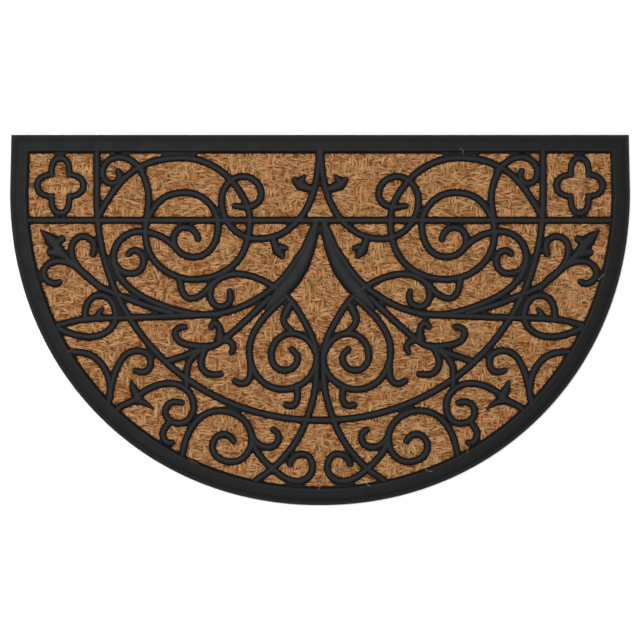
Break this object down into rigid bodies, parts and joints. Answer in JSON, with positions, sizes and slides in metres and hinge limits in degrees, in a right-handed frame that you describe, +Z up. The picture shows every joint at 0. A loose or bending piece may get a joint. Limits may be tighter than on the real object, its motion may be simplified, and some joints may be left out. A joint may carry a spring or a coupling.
{
  "type": "doormat",
  "caption": "Half round doormat: a woven coir panel held in a black rubber moulding with a flat rim all round and raised scrollwork bars over the coir.",
  "frame": {"origin": "on the floor, under the middle of the mat's box", "axes": "+X along the straight edge, +Y across the mat towards the straight edge, +Z up"},
  "size_m": [0.75, 0.448, 0.0085],
  "materials": {
    "coir": "coarse woven fibre",
    "rubber": "matt moulded rubber"
  },
  "bodies": {
    "root": {"coir_panel": "coir", "rubber_moulding": "rubber"}
  },
  "joints": []
}
